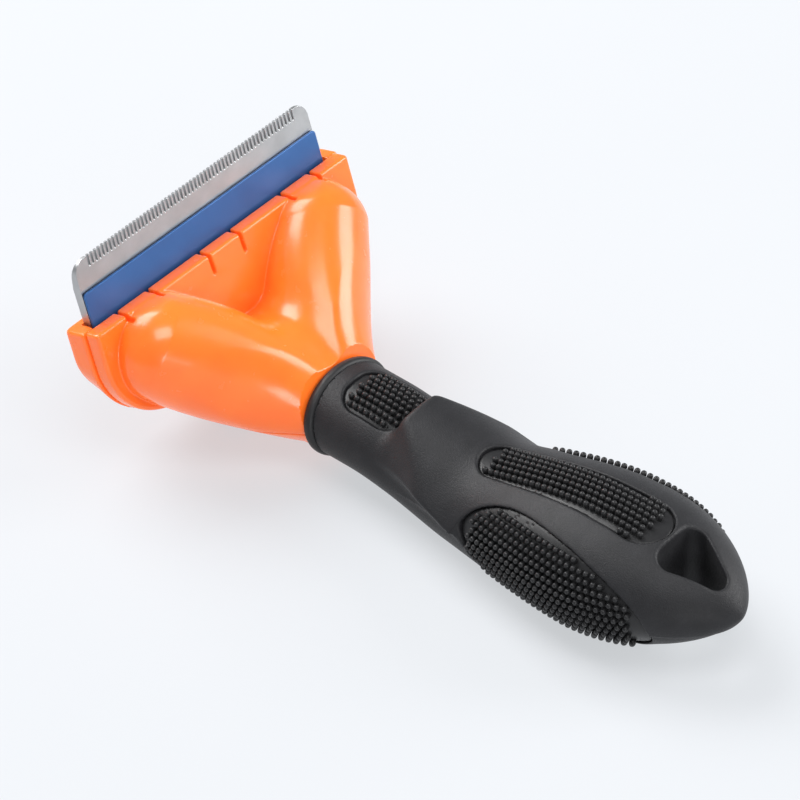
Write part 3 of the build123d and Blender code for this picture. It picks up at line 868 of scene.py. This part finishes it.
def bar_outline():
    """The bar with two legs down to the carriage, clockwise from its top left corner."""
    half = BAR_WIDTH / 2
    corner_place = half - BAR_CORNER
    corner_height = BAR_TOP - BAR_CORNER
    outline = arc(-corner_place, corner_height, BAR_CORNER, 180, 90, 4)
    outline += arc(corner_place, corner_height, BAR_CORNER, 90, 0, 4)
    outline.append((half, BAR_FOOT))
    for place in (BAR_LEG_PLACE, -BAR_LEG_PLACE):
        right, left = place + BAR_LEG_HALF_WIDTH, place - BAR_LEG_HALF_WIDTH
        outline += [(right, BAR_FOOT), (right, BAR_LEG_FOOT)]
        outline += [(left, BAR_LEG_FOOT), (left, BAR_FOOT)]
    outline.append((-half, BAR_FOOT))
    return outline


def spring(name, x, material):
    """A coil spring under the blade holder, which the carriage presses up against it."""
    steps = SPRING_TURNS * 24
    sides = 8
    length = HOLDER_FOOT - SPRING_FOOT - 2 * SPRING_WIRE - 0.1
    points, faces = [], []
    for i in range(steps + 1):
        turn = 2 * math.pi * SPRING_TURNS * i / steps
        out = np.array((math.cos(turn), math.sin(turn), 0))
        rise = np.array((0, 0, 1.0))
        centre = SPRING_RADIUS * out + rise * (SPRING_WIRE + 0.05 + length * i / steps)
        for k in range(sides):
            around = 2 * math.pi * k / sides
            offset = SPRING_WIRE * (math.cos(around) * out + math.sin(around) * rise)
            a, b, c = centre + offset
            points.append(head_point(x + a, PIN_DEPTH + b, SPRING_FOOT + c))
    for i in range(steps):
        for k in range(sides):
            n = (k + 1) % sides
            faces.append((i * sides + k, i * sides + n, (i + 1) * sides + n, (i + 1) * sides + k))
    for start, order in ((0, 1), (steps * sides, -1)):
        for k in range(0, sides - 2, 2):
            quad = (start, start + k + 1, start + k + 2, start + (k + 3) % sides)
            faces.append(quad[::-order])
    piece = mesh_piece(name, points, faces, material)
    placed(piece, "body", (name,))
    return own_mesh(piece)


# ---------------------------------------------------------------- materials

class Look:
    """A node material with a shader, object coordinates and short helpers."""

    def __init__(self, name, colour, roughness, metallic=0.0, **settings):
        self.material = bpy.data.materials.new(name)
        self.material.use_nodes = True
        self.tree = self.material.node_tree
        self.shader = self.tree.nodes["Principled BSDF"]
        self.shader.inputs["Base Color"].default_value = (*colour, 1)
        self.shader.inputs["Roughness"].default_value = roughness
        self.shader.inputs["Metallic"].default_value = metallic
        for socket, value in settings.items():
            self.shader.inputs[socket.replace("_", " ")].default_value = value
        self.place = self.node("ShaderNodeTexCoord").outputs["Object"]

    def node(self, kind, **inputs):
        made = self.tree.nodes.new(kind)
        for name, value in inputs.items():
            self.feed(made, name.replace("_", " "), value)
        return made

    def feed(self, node, name, value):
        if isinstance(value, bpy.types.NodeSocket):
            self.tree.links.new(value, node.inputs[name])
        else:
            node.inputs[name].default_value = value

    def noise(self, size_mm, detail=3.0, stretch=(1, 1, 1), roughness=0.5):
        """Noise with features of about a size in millimetres, longer where stretch is above 1."""
        mapping = self.node("ShaderNodeMapping", Vector=self.place)
        mapping.inputs["Scale"].default_value = [1 / (size_mm * MM * s) for s in stretch]
        noise = self.node("ShaderNodeTexNoise", Vector=mapping.outputs["Vector"])
        noise.inputs["Scale"].default_value = 1.0
        noise.inputs["Detail"].default_value = detail
        noise.inputs["Roughness"].default_value = roughness
        return noise.outputs["Fac"]

    def levels(self, value, low, high, to_low, to_high):
        made = self.node("ShaderNodeMapRange", Value=value)
        made.inputs["From Min"].default_value = low
        made.inputs["From Max"].default_value = high
        made.inputs["To Min"].default_value = to_low
        made.inputs["To Max"].default_value = to_high
        return made.outputs["Result"]

    def blend(self, factor, first, second):
        made = self.tree.nodes.new("ShaderNodeMix")
        made.data_type = "RGBA"
        self.feed(made, "Factor", factor)
        made.inputs[6].default_value = (*first, 1)
        made.inputs[7].default_value = (*second, 1)
        return made.outputs[2]

    def bump(self, height, depth_mm, before=None):
        made = self.node("ShaderNodeBump", Height=height)
        made.inputs["Distance"].default_value = depth_mm * MM
        made.inputs["Strength"].default_value = 1.0
        if before is not None:
            self.feed(made, "Normal", before)
        return made.outputs["Normal"]


def orange_plastic():
    """Glossy plastic that lets a little light pass into it, with a faint painted glow all over that
    lifts its shaded sides.
    """
    look = Look(
        "orange_plastic", (0.99, 0.17, 0.014), 0.26,
        Subsurface_Weight=0.12, Subsurface_Radius=(1.0, 0.35, 0.12), Subsurface_Scale=0.0025,
        Coat_Weight=0.25, Coat_Roughness=0.12,
        # Emission here is a painted glow: it brightens the shaded sides of the orange, though the
        # plastic is no lamp.
        Emission_Color=(1.0, 0.13, 0.03, 1), Emission_Strength=0.12,
    )
    clouds = look.levels(look.noise(9, 2), 0.3, 0.7, 0, 1)
    colour = look.blend(clouds, (0.97, 0.162, 0.013), (1.0, 0.182, 0.016))
    look.feed(look.shader, "Base Color", colour)
    look.feed(look.shader, "Roughness", look.levels(look.noise(2.5, 4), 0.3, 0.7, 0.2, 0.28))
    swirl = look.bump(look.noise(6.0, 2), 0.03)
    look.feed(look.shader, "Normal", look.bump(look.noise(0.12, 2), 0.0012, swirl))
    return look.material


def rubber(name, colour, lighter, roughness, grain_mm, grain_depth):
    """Dark rubber with a fine grain and uneven patches."""
    look = Look(
        name, colour, roughness,
        Sheen_Weight=0.02, Sheen_Roughness=0.5, Specular_IOR_Level=0.3,
    )
    patches = look.levels(look.noise(4, 4), 0.3, 0.7, 0, 1)
    look.feed(look.shader, "Base Color", look.blend(patches, colour, lighter))
    grain = look.noise(grain_mm, 3, roughness=0.6)
    uneven = look.levels(grain, 0.25, 0.75, roughness - 0.08, roughness + 0.1)
    look.feed(look.shader, "Roughness", uneven)
    look.feed(look.shader, "Normal", look.bump(grain, grain_depth))
    return look.material


def steel(name, colour, roughness, stretch, depth=0.004):
    """Steel with fine lines that are stretched along some of the axes."""
    look = Look(name, colour, roughness, metallic=1.0)
    lines = look.noise(0.09, 3, stretch=stretch, roughness=0.6)
    clouds = look.levels(look.noise(5, 3), 0.3, 0.7, 0, 1)
    darker = tuple(c * 0.86 for c in colour)
    look.feed(look.shader, "Base Color", look.blend(clouds, darker, colour))
    uneven = look.levels(lines, 0.3, 0.7, roughness - 0.07, roughness + 0.08)
    look.feed(look.shader, "Roughness", uneven)
    look.feed(look.shader, "Normal", look.bump(lines, depth))
    return look.material


def blue_metal():
    """Blue coating with a very fine grain."""
    look = Look(
        "blue_metal", (0.025, 0.11, 0.32), 0.42, metallic=0.35,
        Coat_Weight=0.1, Coat_Roughness=0.3,
    )
    clouds = look.levels(look.noise(7, 3), 0.3, 0.7, 0, 1)
    colour = look.blend(clouds, (0.022, 0.102, 0.3), (0.027, 0.118, 0.34))
    look.feed(look.shader, "Base Color", colour)
    grain = look.noise(0.22, 3)
    look.feed(look.shader, "Roughness", look.levels(grain, 0.3, 0.7, 0.3, 0.42))
    look.feed(look.shader, "Normal", look.bump(grain, 0.004))
    return look.material


def plain_plastic(name, colour, roughness):
    look = Look(name, colour, roughness)
    clouds = look.levels(look.noise(3, 3), 0.3, 0.7, 0, 1)
    darker = tuple(c * 0.9 for c in colour)
    look.feed(look.shader, "Base Color", look.blend(clouds, darker, colour))
    look.feed(look.shader, "Normal", look.bump(look.noise(0.15, 2), 0.003))
    return look.material


def floor_paper():
    look = Look("floor_paper", (0.21, 0.215, 0.225), 0.9, Specular_IOR_Level=0.05)
    look.shader.inputs["Emission Color"].default_value = (0.94, 0.97, 1.0, 1)
    look.shader.inputs["Emission Strength"].default_value = 0.575
    clouds = look.levels(look.noise(60, 2), 0.3, 0.7, 0, 1)
    colour = look.blend(clouds, (0.208, 0.213, 0.223), (0.212, 0.217, 0.227))
    look.feed(look.shader, "Base Color", colour)
    return look.material


ORANGE = orange_plastic()
GRIP_RUBBER = rubber("grip_rubber", (0.01, 0.01, 0.0115), (0.015, 0.015, 0.017), 0.5, 0.32, 0.07)
COLLAR_RUBBER = rubber("collar_rubber", (0.014, 0.014, 0.015), (0.02, 0.02, 0.021), 0.45, 0.22, 0.012)
PAD_RUBBER = rubber("pad_rubber", (0.012, 0.012, 0.013), (0.018, 0.018, 0.019), 0.36, 0.2, 0.006)
BLADE_STEEL = steel("blade_steel", (0.46, 0.465, 0.47), 0.38, (14, 1, 1))
HOLDER_STEEL = steel("holder_steel", (0.5, 0.5, 0.5), 0.4, (8, 1, 1))
SCREW_STEEL = steel("screw_steel", (0.58, 0.58, 0.6), 0.28, (1, 1, 1))
PIN_STEEL = steel("pin_steel", (0.62, 0.62, 0.62), 0.2, (1, 4, 4))
SPRING_STEEL = steel("spring_steel", (0.56, 0.56, 0.56), 0.25, (1, 1, 1))
BLUE = blue_metal()
CARRIAGE = plain_plastic("carriage_plastic", (0.72, 0.72, 0.69), 0.5)
BUTTON = plain_plastic("button_plastic", (0.03, 0.09, 0.24), 0.38)
CORE = plain_plastic("core_plastic", (0.05, 0.05, 0.05), 0.6)


# ---------------------------------------------------------------- the object

HEAD_LOW, HEAD_HIGH = (-39, -4, -12.5), (39, 47, 32)
GRIP_LOW, GRIP_HIGH = (-20, -99, -12.5), (20, 4, 17)

moulded("front_shell", front_shell, HEAD_LOW, HEAD_HIGH, ORANGE)
moulded("rear_shell", rear_shell, HEAD_LOW, HEAD_HIGH, ORANGE)
moulded("grip", grip, GRIP_LOW, GRIP_HIGH, GRIP_RUBBER)
moulded("collar_ring", collar, (-14, -6, -12), (14, 6, 12), COLLAR_RUBBER, step=0.35)
for pad_name in PADS:
    pad(pad_name, PAD_RUBBER)

blade_shape = blade_outline()
blade = cut_plate(
    "blade", blade_shape, BLADE_FRONT, blade_back, BLADE_STEEL, 0.07,
    folds=((1, len(blade_shape) - 2),),
)
placed(blade, "body", ("blade",))
bar = cut_plate("ejector_bar", bar_outline(), BAR_FRONT, BAR_BACK, BLUE, 0.22, segments=3)
placed(bar, "ejector", ("ejector_bar",))
spring("spring_left", -PIN_SPACING, SPRING_STEEL)
spring("spring_right", PIN_SPACING, SPRING_STEEL)

CARRIED_OVER = {
    "blade_holder": HOLDER_STEEL,
    "blade_screws": SCREW_STEEL,
    "bar_screws": SCREW_STEEL,
    "button_screw": SCREW_STEEL,
    "shell_screws": SCREW_STEEL,
    "core_screws": SCREW_STEEL,
    "guide_pin_left": PIN_STEEL,
    "guide_pin_right": PIN_STEEL,
    "ejector_carriage": CARRIAGE,
    "thumb_button": BUTTON,
    "handle_core": CORE,
}
for node_name, material in CARRIED_OVER.items():
    node = nodes[node_name]
    node.data.materials.clear()
    node.data.materials.append(material)


# ---------------------------------------------------------------- floor, light and camera

def stage_floor():
    """A wide pale sheet just under the tool."""
    mesh = bpy.data.meshes.new("floor")
    reach = 2.5
    corners = [(-reach, -reach, 0), (reach, -reach, 0), (reach, reach, 0), (-reach, reach, 0)]
    mesh.from_pydata(corners, [], [(0, 1, 2, 3)])
    mesh.materials.append(floor_paper())
    floor = bpy.data.objects.new("floor", mesh)
    bpy.context.scene.collection.objects.link(floor)
    floor.location = (0, 0, cad_box[0].z - 0.0001)


VIEW_TURN = math.radians(49.5)
VIEW_RISE = math.radians(41.57)
CAMERA_RIGHT = Vector((math.cos(VIEW_TURN), -math.sin(VIEW_TURN), 0))
CAMERA_UP = Vector((
    math.sin(VIEW_RISE) * math.sin(VIEW_TURN),
    math.sin(VIEW_RISE) * math.cos(VIEW_TURN),
    math.cos(VIEW_RISE),
))
CAMERA_BACK = CAMERA_RIGHT.cross(CAMERA_UP)
AIM = Vector(in_frame((7.208, -7.26, 0.864)).tolist())
CAMERA_DISTANCE = 1.0
CAMERA_LENS = 233.8


def area_light(name, place, size, power):
    """A soft rectangular light. Its place is right, up and back from the aim, in camera directions."""
    data = bpy.data.lights.new(name, "AREA")
    data.shape = "RECTANGLE"
    data.size, data.size_y = size
    data.energy = power
    light = bpy.data.objects.new(name, data)
    bpy.context.scene.collection.objects.link(light)
    right, up, back = place
    light.location = AIM + CAMERA_RIGHT * right + CAMERA_UP * up + CAMERA_BACK * back
    light.rotation_mode = "QUATERNION"
    light.rotation_quaternion = (light.location - AIM).to_track_quat("Z", "Y")
    return light


def world_light():
    """A faint cool light from everywhere."""
    world = bpy.data.worlds.new("world")
    bpy.context.scene.world = world
    world.use_nodes = True
    background = world.node_tree.nodes["Background"]
    background.inputs["Color"].default_value = (0.93, 0.96, 1.0, 1)
    background.inputs["Strength"].default_value = 0.36


def camera():
    """A long lens from a metre away, at the photograph's angle."""
    data = bpy.data.cameras.new("camera")
    data.lens = CAMERA_LENS
    data.sensor_width = 36.0
    data.clip_start, data.clip_end = 0.05, 20
    view = bpy.data.objects.new("camera", data)
    bpy.context.scene.collection.objects.link(view)
    turn = Matrix((CAMERA_RIGHT, CAMERA_UP, CAMERA_BACK)).transposed()
    view.matrix_world = Matrix.Translation(AIM + CAMERA_BACK * CAMERA_DISTANCE) @ turn.to_4x4()
    bpy.context.scene.camera = view


stage_floor()
world_light()
area_light("softbox_left", (-0.45, 0.75, 0.15), (0.6, 0.6), 9.5)
area_light("softbox_right", (0.8, 0.35, 0.1), (0.4, 0.6), 6.0)
area_light("softbox_front", (0.1, 0.5, 0.9), (0.6, 0.4), 4.6)
area_light("softbox_low", (0.3, -0.45, 0.84), (0.4, 0.24), 2.2)
camera()
bpy.context.scene.view_settings.view_transform = "Standard"
